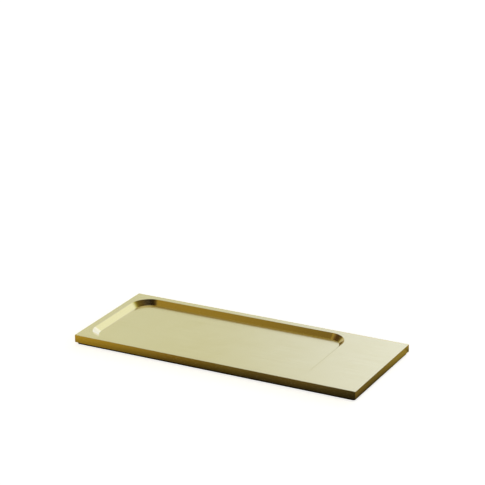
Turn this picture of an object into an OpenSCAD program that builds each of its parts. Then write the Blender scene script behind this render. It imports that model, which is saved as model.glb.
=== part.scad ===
// Coin tray: a solid brass slab with one shallow bevelled recess, standing on a thin dark pad.
// The origin is on the surface that the tray stands on, below the middle of the slab.
// X runs along the slab toward its plain land, Y runs across it and Z points up.

/* [Slab] */
// Length of the slab
slab_length = 225; // [190:1:260]
// Width of the slab
slab_width = 90; // [75:1:120]
// Thickness of the slab
slab_thickness = 5.8; // [5:0.1:10]
// Width of the chamfer that eases the slab's outer edges
slab_edge = 0.2; // [0.1:0.05:0.6]

/* [Recess] */
// Width of the rim across the recess's end of the slab
end_rim = 5.4; // [3:0.1:15]
// Width of the rim along each long side
side_rim = 5.2; // [3:0.1:15]
// Length of the plain land beside the recess
land_length = 43; // [5:0.5:70]
// Depth of the recess
recess_depth = 3.5; // [2:0.1:4]
// Radius of the recess's corners at its lip, seen from above
recess_corner = 15; // [8:0.5:18]
// How far the recess's bevelled wall runs in from the lip to the floor
bevel_run = 3.7; // [1.5:0.1:6]
// Radius of the blend between the bevelled wall and the floor
floor_blend = 0.6; // [0.2:0.1:1]
// Width of the small facet that eases the lip
lip_edge = 0.15; // [0.1:0.05:0.5]

/* [Pad] */
// Thickness of the pad
pad_thickness = 1.3; // [0.8:0.1:4]
// Distance from the slab's outer edge in to the pad
pad_inset = 1.2; // [0.8:0.1:6]
// Radius of the pad's corners, seen from above
pad_corner = 1.5; // [0.5:0.1:6]
// Thickness of the adhesive sheet that bonds the pad to the slab
sheet_thickness = 0.2; // [0.1:0.05:0.5]
// Distance from the pad's edge in to the adhesive sheet
sheet_inset = 0.5; // [0.2:0.1:2]

/* [Hidden] */
$fn = 96;

// Levels of the stack, from the supporting surface up
sheet_bottom = pad_thickness;
slab_bottom = sheet_bottom + sheet_thickness;
slab_top = slab_bottom + slab_thickness;
recess_floor = slab_top - recess_depth;

// Recess seen from above
recess_length = slab_length - end_rim - land_length;
recess_width = slab_width - 2 * side_rim;
recess_centre_x = (end_rim - land_length) / 2;
// How far the recess's cutting shape runs on above the slab
overshoot = 1;

// Pad and sheet seen from above
pad_length = slab_length - 2 * pad_inset;
pad_width = slab_width - 2 * pad_inset;

// Rectangle about the origin with its corners cut off at 45 degrees
module eased_rectangle(length, width, edge) {
    x = length / 2;
    y = width / 2;
    polygon([
        [x - edge, -y], [x, edge - y], [x, y - edge], [x - edge, y],
        [edge - x, y], [-x, y - edge], [-x, edge - y], [edge - x, -y]
    ]);
}

// Rectangle about the origin with round corners
module rounded_rectangle(length, width, corner) {
    square([length, width - 2 * corner], center = true);
    square([length - 2 * corner, width], center = true);
    for (x = [-1, 1], y = [-1, 1])
        translate([x * (length / 2 - corner), y * (width / 2 - corner)])
            circle(corner);
}

// Block on z = 0 with all twelve edges chamfered: its outline along each axis is an eased rectangle
module eased_block(length, width, height, edge) {
    intersection() {
        linear_extrude(height)
            eased_rectangle(length, width, edge);
        translate([-length / 2, 0, height / 2])
            rotate([90, 0, 90])
                linear_extrude(length)
                    eased_rectangle(width, height, edge);
        translate([0, width / 2, height / 2])
            rotate([90, 0, 0])
                linear_extrude(width)
                    eased_rectangle(length, height, edge);
    }
}

// Sweeps a profile round a rounded rectangle and fills the middle up to the given height.
// The profile's x runs outward from the corners' centres, and its y runs up.
module swept_pocket(length, width, corner, height) {
    x = length / 2 - corner;
    y = width / 2 - corner;
    translate([-x, -y, 0])
        cube([2 * x, 2 * y, height]);
    for (half_turn = [0, 180])
        rotate([0, 0, half_turn]) {
            translate([x, y, 0])
                rotate([90, 0, 0])
                    linear_extrude(2 * y)
                        children();
            translate([-x, y, 0])
                rotate([90, 0, 90])
                    linear_extrude(2 * x)
                        children();
            translate([x, y, 0])
                rotate_extrude(angle = 90)
                    children();
            translate([-x, y, 0])
                rotate([0, 0, 90])
                    rotate_extrude(angle = 90)
                        children();
        }
}

// Section of the recess from a corner's centre outward: floor, blend, bevelled wall and eased lip
module recess_profile() {
    slope = atan2(recess_depth, bevel_run);
    foot = recess_corner - bevel_run;
    tangent = floor_blend * tan(slope / 2);
    lip_start = recess_depth - lip_edge;
    polygon([
        [0, 0],
        [foot - tangent, 0],
        [foot + tangent * cos(slope), tangent * sin(slope)],
        [recess_corner - lip_edge / tan(slope), lip_start],
        [recess_corner + lip_edge, recess_depth],
        [recess_corner + lip_edge, recess_depth + overshoot],
        [0, recess_depth + overshoot]
    ]);
    translate([foot - tangent, floor_blend])
        circle(floor_blend);
}

// Solid brass slab with the recess cut into its top
module tray_plate() {
    color([0.80, 0.72, 0.45])
        difference() {
            translate([0, 0, slab_bottom])
                eased_block(slab_length, slab_width, slab_thickness, slab_edge);
            translate([recess_centre_x, 0, recess_floor])
                swept_pocket(recess_length, recess_width, recess_corner, recess_depth + overshoot)
                    recess_profile();
        }
}

// Thin adhesive sheet between the slab and the pad
module adhesive_sheet() {
    color([0.85, 0.84, 0.78])
        translate([0, 0, sheet_bottom])
            linear_extrude(sheet_thickness)
                rounded_rectangle(
                    pad_length - 2 * sheet_inset,
                    pad_width - 2 * sheet_inset,
                    pad_corner
                );
}

// Dark pad that the tray stands on
module base_pad() {
    color([0.10, 0.08, 0.07])
        linear_extrude(pad_thickness)
            rounded_rectangle(pad_length, pad_width, pad_corner);
}

tray_plate();
adhesive_sheet();
base_pad();
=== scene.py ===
"""Coin tray: a polished brass slab with one shallow bevelled recess, on a thin dark pad."""
import math

import bpy
from mathutils import Matrix, Vector


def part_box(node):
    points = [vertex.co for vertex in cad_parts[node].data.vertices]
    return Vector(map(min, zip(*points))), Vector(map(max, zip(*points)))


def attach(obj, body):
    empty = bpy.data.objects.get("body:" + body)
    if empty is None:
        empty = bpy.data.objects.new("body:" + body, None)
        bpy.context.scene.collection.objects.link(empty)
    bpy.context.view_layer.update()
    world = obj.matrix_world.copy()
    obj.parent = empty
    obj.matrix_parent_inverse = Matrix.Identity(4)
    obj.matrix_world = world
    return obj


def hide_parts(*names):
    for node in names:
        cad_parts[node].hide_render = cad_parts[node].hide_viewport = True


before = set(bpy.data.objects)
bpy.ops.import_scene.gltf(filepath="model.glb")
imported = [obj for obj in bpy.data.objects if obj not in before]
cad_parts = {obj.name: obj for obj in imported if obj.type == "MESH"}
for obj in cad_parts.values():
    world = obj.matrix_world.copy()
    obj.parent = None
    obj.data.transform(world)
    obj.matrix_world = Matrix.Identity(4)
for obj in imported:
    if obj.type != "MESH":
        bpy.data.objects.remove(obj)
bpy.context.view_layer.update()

scene = bpy.context.scene
MM = 0.001


# Node helpers

class Nodes:
    """A material's or world's node tree, with short calls for the nodes used here."""

    def __init__(self, owner):
        owner.use_nodes = True
        self.tree = owner.node_tree
        self.tree.nodes.clear()

    def add(self, kind, **settings):
        node = self.tree.nodes.new(kind)
        for name, value in settings.items():
            setattr(node, name, value)
        return node

    def put(self, socket, value):
        """Sets a socket to a number or colour, or links it to another node's output."""
        if isinstance(value, bpy.types.NodeSocket):
            self.tree.links.new(value, socket)
        elif isinstance(value, bpy.types.Node):
            self.tree.links.new(value.outputs[0], socket)
        else:
            socket.default_value = value

    def math(self, operation, a, b=0.0, c=0.0, clamp=False):
        node = self.add("ShaderNodeMath", operation=operation, use_clamp=clamp)
        for socket, value in zip(node.inputs, (a, b, c)):
            self.put(socket, value)
        return node.outputs[0]

    def span(self, value, low, high, to_low=0.0, to_high=1.0, smooth=False):
        """Maps low..high to to_low..to_high, held at both ends."""
        node = self.add("ShaderNodeMapRange",
                        interpolation_type="SMOOTHSTEP" if smooth else "LINEAR")
        for name, v in (("Value", value), ("From Min", low), ("From Max", high),
                        ("To Min", to_low), ("To Max", to_high)):
            self.put(node.inputs[name], v)
        return node.outputs[0]

    def ramp(self, value, stops):
        """Colour along a list of (position, (r, g, b))."""
        node = self.add("ShaderNodeValToRGB")
        elements = node.color_ramp.elements
        elements[0].position, elements[1].position = stops[0][0], stops[-1][0]
        elements[0].color, elements[1].color = (*stops[0][1], 1), (*stops[-1][1], 1)
        for position, colour in stops[1:-1]:
            elements.new(position).color = (*colour, 1)
        self.put(node.inputs[0], value)
        return node.outputs[0]

    def mix(self, factor, a, b, blend="MIX"):
        node = self.add("ShaderNodeMix", data_type="RGBA", blend_type=blend)
        self.put(node.inputs[0], factor)
        self.put(node.inputs[6], a)
        self.put(node.inputs[7], b)
        return node.outputs[2]

    def noise(self, vector, scale, detail=2.0, stretch=None, roughness=0.5):
        if stretch is not None:
            mapping = self.add("ShaderNodeMapping")
            self.put(mapping.inputs["Vector"], vector)
            mapping.inputs["Scale"].default_value = stretch
            vector = mapping.outputs[0]
        node = self.add("ShaderNodeTexNoise")
        self.put(node.inputs["Vector"], vector)
        self.put(node.inputs["Scale"], scale)
        self.put(node.inputs["Detail"], detail)
        self.put(node.inputs["Roughness"], roughness)
        return node.outputs["Fac"]

    def bump(self, height, distance, strength=1.0, normal=None):
        node = self.add("ShaderNodeBump")
        self.put(node.inputs["Height"], height)
        self.put(node.inputs["Distance"], distance)
        self.put(node.inputs["Strength"], strength)
        if normal is not None:
            self.put(node.inputs["Normal"], normal)
        return node.outputs[0]

    def principled(self, **inputs):
        node = self.add("ShaderNodeBsdfPrincipled")
        for name, value in inputs.items():
            self.put(node.inputs[name.replace("_", " ")], value)
        out = self.add("ShaderNodeOutputMaterial")
        self.put(out.inputs["Surface"], node)
        return node


# Materials

def brass_material():
    """Satin-polished brass: fine grain along each face, faint clouding, and paler brass on the eased
    edges that is partly rubbed wear and partly a painted highlight.
    """
    material = bpy.data.materials.new("brass")
    n = Nodes(material)
    # The finish attribute holds, in metres, the way along the grain and across it,
    # and a third number: 0 on flats, 1 on the polished bevel, 2 on an eased edge.
    finish = n.add("ShaderNodeAttribute", attribute_name="finish")
    part = n.add("ShaderNodeSeparateXYZ")
    n.put(part.inputs[0], finish.outputs["Vector"])
    place = n.add("ShaderNodeTexCoord").outputs["Object"]
    fine = n.noise(finish.outputs["Vector"], 1.0, 3.0, stretch=(60, 5200, 0))
    broad = n.noise(finish.outputs["Vector"], 1.0, 2.0, stretch=(14, 900, 0))
    cloud = n.noise(place, 55.0, 3.0)
    bevel = n.math("COMPARE", part.outputs[2], 1.0, 0.4)
    worn_and_highlit_edge = n.math("COMPARE", part.outputs[2], 2.0, 0.4)
    tone = n.math("MULTIPLY_ADD", cloud, 0.5, n.math("MULTIPLY", broad, 0.5))
    colour = n.ramp(tone, [(0.25, (0.850, 0.755, 0.405)), (0.5, (0.880, 0.790, 0.445)),
                           (0.75, (0.905, 0.822, 0.480))])
    # Paler brass on every eased edge: partly rubbed wear, partly a painted highlight along the edges
    colour = n.mix(worn_and_highlit_edge, colour, (0.93, 0.86, 0.56, 1))
    rough = n.math("MULTIPLY_ADD", fine, 0.07, 0.150)
    rough = n.math("MULTIPLY_ADD", cloud, 0.05, n.math("SUBTRACT", rough, 0.025))
    rough = n.math("SUBTRACT", rough, n.math("MULTIPLY", bevel, 0.05))
    grain = n.math("MULTIPLY_ADD", fine, 0.7, n.math("MULTIPLY", broad, 0.3))
    normal = n.bump(grain, 0.000012, 0.6)
    n.principled(Base_Color=colour, Metallic=1.0, Roughness=rough, Normal=normal)
    return material


def pad_material():
    """Near-black rubber with a fine pebbled skin."""
    material = bpy.data.materials.new("pad")
    n = Nodes(material)
    place = n.add("ShaderNodeTexCoord").outputs["Object"]
    grain = n.add("ShaderNodeTexVoronoi", feature="SMOOTH_F1")
    n.put(grain.inputs["Vector"], place)
    n.put(grain.inputs["Scale"], 1900.0)
    cloud = n.noise(place, 160.0, 3.0)
    colour = n.ramp(cloud, [(0.3, (0.010, 0.0075, 0.005)), (0.7, (0.022, 0.017, 0.012))])
    rough = n.span(cloud, 0.3, 0.7, 0.80, 0.92)
    n.principled(Base_Color=colour, Roughness=rough, Specular_IOR_Level=0.12,
                 Normal=n.bump(grain.outputs["Distance"], 0.00008, 0.7))
    return material


def adhesive_material():
    """Pale, slightly cloudy bonding film."""
    material = bpy.data.materials.new("adhesive")
    n = Nodes(material)
    place = n.add("ShaderNodeTexCoord").outputs["Object"]
    cloud = n.noise(place, 240.0, 4.0)
    colour = n.ramp(cloud, [(0.3, (0.60, 0.57, 0.48)), (0.7, (0.74, 0.72, 0.63))])
    n.principled(Base_Color=colour, Roughness=n.span(cloud, 0.3, 0.7, 0.60, 0.78),
                 Normal=n.bump(cloud, 0.00003, 0.5))
    return material


# Tray body

SLAB_LOW, SLAB_HIGH = (tuple(c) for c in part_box("tray_plate"))
EDGE = 0.12 * MM                # chamfer of the slab's edges
PLAN_CORNER = 0.17 * MM         # radius of its upright corners, seen from above
END_RIM, SIDE_RIM, LAND = 5.4 * MM, 5.2 * MM, 43 * MM
DEPTH, RUN = 3.5 * MM, 3.7 * MM
CORNER = 15 * MM                # radius of the recess's corners at the lip, seen from above
FOOT_CORNERS = {-1: 12.9 * MM, 1: 11.3 * MM}  # and at the bevel's foot, left and right
LIP, BLEND = 0.12 * MM, 0.3 * MM  # radii that ease the bevel's lip and foot
ARC = 40                        # segments in each corner


def ring(low, high, corner, place):
    """Points round a rounded rectangle, with the way outward and the tilt at each.

    place(lean, end) gives a point's distance out from its corner's centre, how far the corner is
    drawn in along its diagonal, its height and its normal's angle from straight up, outward
    positive. Lean is 1 at an arc's ends and grows to the root of 2 at its middle, and end is -1
    at the left and 1 at the right."""
    points = []
    for sx, sy, start in ((1, 1, 0), (-1, 1, 90), (-1, -1, 180), (1, -1, 270)):
        cx = (high if sx > 0 else low)[0] - sx * corner
        cy = (high if sy > 0 else low)[1] - sy * corner
        for k in range(ARC + 1):
            a = math.radians(start + 90 * k / ARC)
            out = (math.cos(a), math.sin(a))
            reach, drawn, z, tilt = place(abs(out[0]) + abs(out[1]), sx)
            point = (cx + reach * out[0] - sx * drawn, cy + reach * out[1] - sy * drawn, z)
            points.append((point, out, tilt))
    return points


def tray_body():
    """The slab as one closed skin, from the underside's middle round to the recess's floor."""
    low, high = SLAB_LOW, SLAB_HIGH
    bottom, top = low[2], high[2]
    strips = []   # (ring, ring that follows, zone), each ring with the tilts of this strip alone

    def outer(reach, z, tilt):
        return ring(low, high, PLAN_CORNER, lambda lean, end: (reach, 0, z, tilt))

    up, side, down = 0, math.pi / 2, math.pi
    near = PLAN_CORNER - EDGE
    strips.append((outer(near, bottom, down), outer(PLAN_CORNER, bottom + EDGE, side), 2))
    strips.append((outer(PLAN_CORNER, bottom + EDGE, side), outer(PLAN_CORNER, top - EDGE, side), 0))
    strips.append((outer(PLAN_CORNER, top - EDGE, side), outer(near, top, up), 2))

    r_low = (low[0] + END_RIM, low[1] + SIDE_RIM)
    r_high = (high[0] - LAND, high[1] - SIDE_RIM)
    steps = 4

    def wall(lip, k):
        """Rings 0 to steps of the eased lip, or of the blend at the foot."""
        def place(lean, end):
            # A foot corner wider than an even bevel's is drawn in, and the bevel leans more there
            narrower = CORNER - FOOT_CORNERS[end]
            drawn_in = RUN - narrower
            run = narrower + drawn_in * lean
            slope = math.atan2(DEPTH, run)
            ease = math.tan(slope / 2)
            if lip:
                t = slope * k / steps
                share = LIP * (math.sin(t) - ease) / run
                z = top - LIP * (1 - math.cos(t))
            else:
                t = slope * (1 - k / steps)
                share = 1 + BLEND * (ease - math.sin(t)) / run
                z = top - DEPTH + BLEND * (1 - math.cos(t))
            return CORNER - share * narrower, share * drawn_in, z, -t
        return ring(r_low, r_high, CORNER, place)

    wall_rings = [wall(True, k) for k in range(steps + 1)] + [wall(False, k) for k in range(steps + 1)]
    strips.append((outer(near, top, up), wall_rings[0], 0))
    for k in range(2 * steps + 1):
        strips.append((wall_rings[k], wall_rings[k + 1], 2 if k < steps else 1))

    count = len(wall_rings[0])
    vertices = [p for p, *_ in strips[0][0]] + [p for _, ahead, _ in strips for p, *_ in ahead]
    faces, normals, finish = [], [], []

    def normal(point):
        _, out, tilt = point
        return (math.sin(tilt) * out[0], math.sin(tilt) * out[1], math.cos(tilt))

    across = 0.0
    for i, (here, ahead, zone) in enumerate(strips):
        step = (Vector(ahead[0][0]) - Vector(here[0][0])).length
        flat = i == 3   # the strip between the slab's edge and the recess's lip
        along = 0.0
        for k in range(count):
            m = (k + 1) % count
            a, b = i * count + k, i * count + m
            faces.append((a, b, b + count, a + count))
            four = (here[k], here[m], ahead[m], ahead[k])
            normals += [normal(point) for point in four]
            length = (Vector(here[m][0]) - Vector(here[k][0])).length
            if flat:
                finish += [(p[0], p[1], 0) for p, *_ in four]
            else:
                finish += [(along, across, zone), (along + length, across, zone),
                           (along + length, across + step, zone), (along, across + step, zone)]
            along += length
        across += step
    floor = [len(strips) * count + k for k in range(count)]
    faces.append(tuple(floor))
    normals += [(0, 0, 1)] * count
    finish += [(vertices[v][0], vertices[v][1] + 0.5, 0) for v in floor]
    under = list(reversed(range(count)))
    faces.append(tuple(under))
    normals += [(0, 0, -1)] * count
    finish += [(vertices[v][0], vertices[v][1] + 1.0, 0) for v in under]

    mesh = bpy.data.meshes.new("tray_body")
    mesh.from_pydata(vertices, [], faces)
    mesh.shade_smooth()
    attribute = mesh.attributes.new("finish", "FLOAT_VECTOR", "CORNER")
    attribute.data.foreach_set("vector", [c for v in finish for c in v])
    mesh.normals_split_custom_set(normals)
    body = bpy.data.objects.new("tray_body", mesh)
    scene.collection.objects.link(body)
    return body


# Studio

def studio_world():
    """A bright low surround, a dim warm gap above it and a soft light overhead at the back."""
    world = bpy.data.worlds.new("studio")
    scene.world = world
    n = Nodes(world)
    way = n.add("ShaderNodeTexCoord").outputs["Generated"]
    part = n.add("ShaderNodeSeparateXYZ")
    n.put(part.inputs[0], way)
    x, y, z = part.outputs
    turn = n.span(n.math("ARCTAN2", x, y), -math.pi, math.pi)
    rise = n.math("MULTIPLY", n.math("ARCSINE", z), 180 / math.pi)

    def round_about(stops):
        return n.ramp(turn, [((a + 180) / 360, c) for a, c in stops])

    low = round_about([
        (-180, (0.80, 0.80, 0.78)), (-110, (0.70, 0.68, 0.62)), (-75, (0.54, 0.48, 0.35)),
        (-52, (0.58, 0.52, 0.38)), (-36, (0.75, 0.77, 0.66)), (-32.6, (0.70, 0.74, 0.70)),
        (-29.3, (0.69, 0.71, 0.64)), (-27.7, (0.74, 0.79, 0.89)), (-26.3, (0.81, 0.865, 1.06)),
        (-24.8, (0.88, 0.95, 1.23)), (-23.5, (0.93, 1.01, 1.30)), (-10, (0.98, 1.06, 1.40)),
        (3, (0.98, 1.06, 1.42)), (12, (1.08, 1.16, 1.60)), (19.5, (1.08, 1.16, 1.60)),
        (22, (1.00, 1.04, 1.10)), (24.3, (0.91, 0.97, 0.94)), (34, (0.84, 0.88, 0.80)),
        (60, (0.80, 0.80, 0.70)), (100, (0.82, 0.82, 0.80)), (180, (0.80, 0.80, 0.78)),
    ])
    high = round_about([
        (-180, (0.020, 0.013, 0.006)), (-150, (0.022, 0.014, 0.006)),
        (-137, (0.050, 0.032, 0.012)), (-132, (0.184, 0.115, 0.031)),
        (-130, (0.150, 0.095, 0.020)), (-126.4, (0.430, 0.290, 0.045)),
        (-113, (0.210, 0.134, 0.046)), (-100, (0.075, 0.038, 0.011)),
        (-75, (0.100, 0.060, 0.018)), (-55, (0.200, 0.160, 0.060)),
        (-40, (0.200, 0.160, 0.070)), (0, (0.120, 0.100, 0.040)), (40, (0.160, 0.120, 0.030)),
        (70, (0.090, 0.055, 0.014)), (100, (0.040, 0.022, 0.008)), (180, (0.020, 0.013, 0.006)),
    ])
    # Where the surround starts to fade and where it ends, in degrees above the horizon over 100
    fade = round_about([
        (-180, (0.26, 0.44, 0)), (-115, (0.26, 0.40, 0)), (-98, (0.20, 0.33, 0)),
        (-66, (0.145, 0.26, 0)), (-50, (0.24, 0.34, 0)), (-34, (0.28, 0.37, 0)), (-27.5, (0.28, 0.36, 0)),
        (-22, (0.355, 0.395, 0)),
        (-16, (0.375, 0.405, 0)), (10, (0.375, 0.405, 0)), (22, (0.36, 0.53, 0)),
        (60, (0.36, 0.60, 0)), (110, (0.30, 0.52, 0)), (180, (0.26, 0.44, 0)),
    ])
    ends = n.add("ShaderNodeSeparateXYZ")
    n.put(ends.inputs[0], fade)
    share = n.span(n.math("MULTIPLY", rise, 0.01), ends.outputs[0], ends.outputs[1], smooth=True)
    # The surround yellows as it fades: its blue goes first
    share = n.ramp(share, [(0, (0, 0, 0)), (0.1, (0.09, 0.09, 0.16)), (0.45, (0.50, 0.53, 0.82)),
                           (0.88, (0.92, 0.94, 1)), (1, (1, 1, 1))])
    sky = n.add("ShaderNodeMix", data_type="VECTOR", factor_mode="NON_UNIFORM")
    n.put(sky.inputs[1], share)
    n.put(sky.inputs[4], low)
    n.put(sky.inputs[5], high)
    sky = sky.outputs[1]
    # Overhead, by their places on a plane one unit up: a dim warm strip at the left and a soft
    # light beside it
    up = n.math("MAXIMUM", z, 0.05)
    across, deep = n.math("DIVIDE", x, up), n.math("DIVIDE", y, up)

    def patch(left, right, front, back):
        """1 inside a rectangle, each of whose sides is a (nothing, full) pair."""
        inside = 1.0
        for value, (none, full) in ((across, left), (across, right), (deep, front), (deep, back)):
            inside = n.math("MULTIPLY", n.span(value, none, full, smooth=True), inside)
        return inside

    strip = patch((-0.82, -0.68), (-0.34, -0.46), (-0.42, -0.26), (1.18, 1.00))
    sky = n.mix(strip, sky, (0.31, 0.25, 0.10, 1))
    light = patch((-0.46, -0.30), (0.34, 0.18), (0.12, 0.34), (1.14, 1.02))
    sky = n.mix(light, sky, (0.60, 0.56, 0.45, 1))
    straight_up = patch((-0.26, -0.16), (0.26, 0.18), (-0.15, -0.07), (0.34, 0.20))
    cut_off = n.span(n.math("SUBTRACT", across, deep), 0.175, 0.105, smooth=True)
    straight_up = n.math("MULTIPLY", straight_up, cut_off)
    sky = n.mix(straight_up, sky, (0.74, 0.73, 0.68, 1))
    rays = n.add("ShaderNodeLightPath")
    sky = n.mix(rays.outputs["Is Camera Ray"], sky, (1, 1, 1, 1))
    background = n.add("ShaderNodeBackground")
    n.put(background.inputs["Color"], sky)
    n.put(n.add("ShaderNodeOutputWorld").inputs["Surface"], background)


def studio_floor():
    """A plain pale floor that shows white away from the object and keeps the object's shadow."""
    half = 4.0
    z = -0.0001
    mesh = bpy.data.meshes.new("floor")
    mesh.from_pydata([(-half, -half, z), (half, -half, z), (half, half, z), (-half, half, z)], [],
                     [(0, 1, 2, 3)])
    floor = bpy.data.objects.new("floor", mesh)
    scene.collection.objects.link(floor)
    material = bpy.data.materials.new("floor")
    n = Nodes(material)
    diffuse = n.add("ShaderNodeBsdfDiffuse")
    n.put(diffuse.inputs["Color"], (0.80, 0.80, 0.80, 1))
    rays = n.add("ShaderNodeLightPath")
    seen = n.math("MAXIMUM", rays.outputs["Is Camera Ray"], rays.outputs["Is Glossy Ray"])
    seen = n.math("MAXIMUM", seen, rays.outputs["Is Transmission Ray"])
    glow = n.add("ShaderNodeEmission")
    n.put(glow.inputs["Strength"], n.math("MULTIPLY", seen, 0.75))
    both = n.add("ShaderNodeAddShader")
    n.put(both.inputs[0], diffuse)
    n.put(both.inputs[1], glow)
    n.put(n.add("ShaderNodeOutputMaterial").inputs["Surface"], both)
    mesh.materials.append(material)
    return floor


def painted_reflection_cards():
    """Glowing dark warm cards laid round the tray, seen only in its upright faces: a painted reflection
    standing in for a studio shot's dark surroundings, with painted shade that darkens it near the tray.
    """
    (x0, y0, _), (x1, y1, _) = SLAB_LOW, SLAB_HIGH
    z = 0.2 * MM
    # Rows outward: (millimetres from the tray, brightness against the card's colour, opacity); the low
    # brightness next to the tray is painted shade
    wide = [(-1.4, 0.28, 1), (2, 0.34, 1), (5, 0.56, 1), (8, 0.88, 1), (12, 1.28, 1),
            (17, 1.45, 1), (34, 1.5, 1), (60, 1.6, 0)]
    narrow = [(-1.4, 0.25, 1), (1.1, 0.32, 1), (2.2, 0.50, 1), (3.8, 0.90, 1), (5.5, 1.02, 1),
              (9, 1.08, 1), (34, 1.2, 1), (60, 1.3, 0)]
    # Each side: where its card starts and ends, the way out, its rows, and along it the
    # (share of the way, painted reflection colour, how far all rows keep the card's own colour)
    sides = {
        # Along the front the colour darkens from left to right: a painted reflection
        "front": ((x0, y0), (x1, y0), (0, -1), wide, [
            (0.00, (0.400, 0.265, 0.034), 0.55), (0.10, (0.320, 0.210, 0.030), 0.45),
            (0.20, (0.250, 0.163, 0.025), 0.2), (0.35, (0.165, 0.102, 0.018), 0),
            (0.50, (0.108, 0.073, 0.014), 0), (0.65, (0.074, 0.049, 0.014), 0),
            (0.77, (0.080, 0.053, 0.016), 0), (0.90, (0.046, 0.033, 0.012), 0.3),
            (1.00, (0.026, 0.020, 0.008), 0.4)]),
        "right": ((x1, y0), (x1, y1), (1, 0), narrow, [
            (0.00, (0.160, 0.110, 0.033), 0), (0.20, (0.160, 0.110, 0.032), 0),
            (0.45, (0.158, 0.116, 0.031), 0.1), (0.62, (0.190, 0.136, 0.034), 0.3),
            (0.85, (0.270, 0.203, 0.051), 0.5), (1.00, (0.302, 0.224, 0.055), 0.8)]),
        "back": ((x1, y1), (x0, y1), (0, 1), wide, [
            (0.00, (0.275, 0.200, 0.050), 0), (1.00, (0.330, 0.225, 0.042), 0)]),
        "left": ((x0, y1), (x0, y0), (-1, 0), wide, [
            (0.00, (0.330, 0.225, 0.042), 0), (1.00, (0.360, 0.240, 0.036), 0)]),
    }
    material = bpy.data.materials.new("painted_reflection_card")
    n = Nodes(material)
    tone = n.add("ShaderNodeAttribute", attribute_name="tone")
    glow = n.add("ShaderNodeEmission")
    n.put(glow.inputs["Color"], tone.outputs["Color"])
    blend = n.add("ShaderNodeMixShader")
    n.put(blend.inputs[0], tone.outputs["Alpha"])
    n.put(blend.inputs[1], n.add("ShaderNodeBsdfTransparent"))
    n.put(blend.inputs[2], glow)
    n.put(n.add("ShaderNodeOutputMaterial").inputs["Surface"], blend)
    for name, (start, end, out, rows, stops) in sides.items():
        start, end, out = Vector(start), Vector(end), Vector(out)
        along = (end - start).normalized()
        vertices, painted_reflection_tones = [], []
        for reach, painted_light_level, solid in rows:
            a, b = start + (out - along) * reach * MM, end + (out + along) * reach * MM
            for share, colour, keep in stops:
                x, y = a.lerp(b, share)
                vertices.append((x, y, z))
                here = 1 + (painted_light_level - 1) * (1 - keep)
                painted_reflection_tones += [here * c for c in colour] + [solid]
        w = len(stops)
        faces = [(i * w + k, i * w + k + 1, (i + 1) * w + k + 1, (i + 1) * w + k)
                 for i in range(len(rows) - 1) for k in range(w - 1)]
        mesh = bpy.data.meshes.new("painted_reflection_sheet_" + name)
        mesh.from_pydata(vertices, [], faces)
        mesh.attributes.new("tone", "FLOAT_COLOR", "POINT").data.foreach_set("color", painted_reflection_tones)
        mesh.materials.append(material)
        card = bpy.data.objects.new("painted_reflection_sheet_" + name, mesh)
        scene.collection.objects.link(card)
        # Only glossy rays see the cards: a painted reflection that lights nothing and casts no shadow
        card.visible_camera = card.visible_diffuse = card.visible_shadow = False
        card.visible_transmission = card.visible_volume_scatter = False


def camera():
    """Stands where the photograph was taken from."""
    azimuth, elevation, roll = math.radians(28.696), math.radians(20.30), math.radians(-1.13)
    place = Vector((0.60712, -1.10279, 0.54727))
    back = Vector((math.sin(azimuth) * math.cos(elevation),
                   -math.cos(azimuth) * math.cos(elevation), math.sin(elevation)))
    right = Vector((0, 0, 1)).cross(back).normalized()
    up = back.cross(right)
    x = math.cos(roll) * right + math.sin(roll) * up
    y = -math.sin(roll) * right + math.cos(roll) * up
    data = bpy.data.cameras.new("camera")
    data.sensor_fit, data.sensor_width = "HORIZONTAL", 36
    data.lens = 1900.5 / 485 * data.sensor_width
    data.clip_start = 0.01
    holder = bpy.data.objects.new("camera", data)
    scene.collection.objects.link(holder)
    holder.matrix_world = Matrix([[*row, c] for row, c in zip(zip(x, y, back), place)] + [[0, 0, 0, 1]])
    scene.camera = holder


# Build

body = tray_body()
body.data.materials.append(brass_material())
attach(body, "root")
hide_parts("tray_plate")

for node, material in (("base_pad", pad_material()), ("adhesive_sheet", adhesive_material())):
    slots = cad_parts[node].material_slots
    for slot in slots:
        slot.material = material

studio_world()
studio_floor()
painted_reflection_cards()
camera()
scene.view_settings.view_transform = "Standard"
